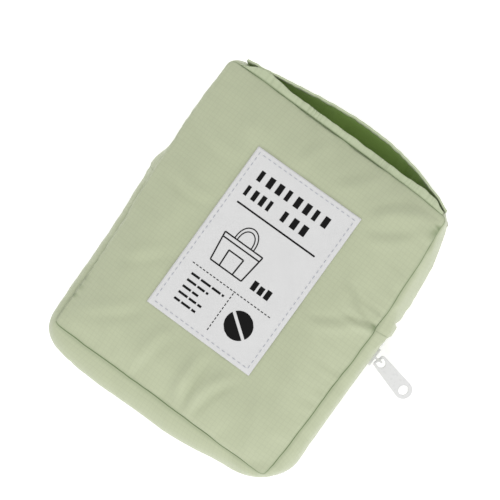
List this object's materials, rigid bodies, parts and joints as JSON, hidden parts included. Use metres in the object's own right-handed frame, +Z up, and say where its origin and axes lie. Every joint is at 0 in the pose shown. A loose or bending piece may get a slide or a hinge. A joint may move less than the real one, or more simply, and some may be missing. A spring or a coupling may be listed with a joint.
{
  "type": "packable tote bag",
  "caption": "Packable nylon tote bag folded into its own soft zipped pouch: puffed panels, bulging gussets, a zip round the lower sides, a woven label and an open sleeve along the top.",
  "frame": {"origin": "middle of the back sleeve's resting face, under the middle of the front panel", "axes": "+Z up out of the front panel, +Y towards the top edge with the open sleeve, +X towards the side where the zip closes"},
  "size_m": [0.1756, 0.1785, 0.0439],
  "materials": {
    "shell_fabric": "light sage-green ripstop nylon with a faint grid and a satin sheen",
    "facing_fabric": "the same nylon, gathered into fine pleats",
    "label_cloth": "matt white woven label with dark printing",
    "binding_tape": "narrow woven tape",
    "zip_tape": "white woven polyester tape",
    "zip_coil": "white nylon coil",
    "zip_metalwork": "white enamel over die-cast zinc",
    "tote_fabric": "light sage-green ripstop nylon",
    "handle_webbing": "the same nylon, folded and sewn"
  },
  "bodies": {
    "pouch": {"front_panel": "shell_fabric", "label": "label_cloth", "gusset_top": "shell_fabric", "gusset_front": "shell_fabric", "gusset_rear": "shell_fabric", "back_seam_binding": "binding_tape", "front_seam_binding": "binding_tape", "cross_seam_binding_left": "binding_tape", "cross_seam_binding_right": "binding_tape", "back_panel": "shell_fabric", "back_sleeve": "shell_fabric", "sleeve_mouth_wall": "shell_fabric", "sleeve_hem": "shell_fabric", "top_facing": "facing_fabric", "zip_tape_front": "zip_tape", "zip_coil_front": "zip_coil", "zip_tape_rear": "zip_tape", "zip_coil_rear": "zip_coil", "zip_top_stops": "zip_metalwork", "zip_bottom_stop": "zip_metalwork", "tote_body": "tote_fabric", "tote_mouth_hem": "tote_fabric", "tote_handle_front": "handle_webbing", "tote_handle_back": "handle_webbing", "tote_handle_patches": "tote_fabric", "tote_anchor_tape": "binding_tape"},
    "slider": {"slider_body": "zip_metalwork"},
    "pull": {"zip_pull": "zip_metalwork"}
  },
  "joints": [
    {"name": "zip_slide", "type": "slide", "parent": "pouch", "child": "slider", "axis": [0, -1, 0], "range_m": [0, 0.062]},
    {"name": "pull_swing", "type": "hinge", "parent": "slider", "child": "pull", "pos_m": [0.0776, 0.0015, 0.011], "axis": [-0.2588, -0.9659, 0], "range_deg": [-68, 112]}
  ]
}
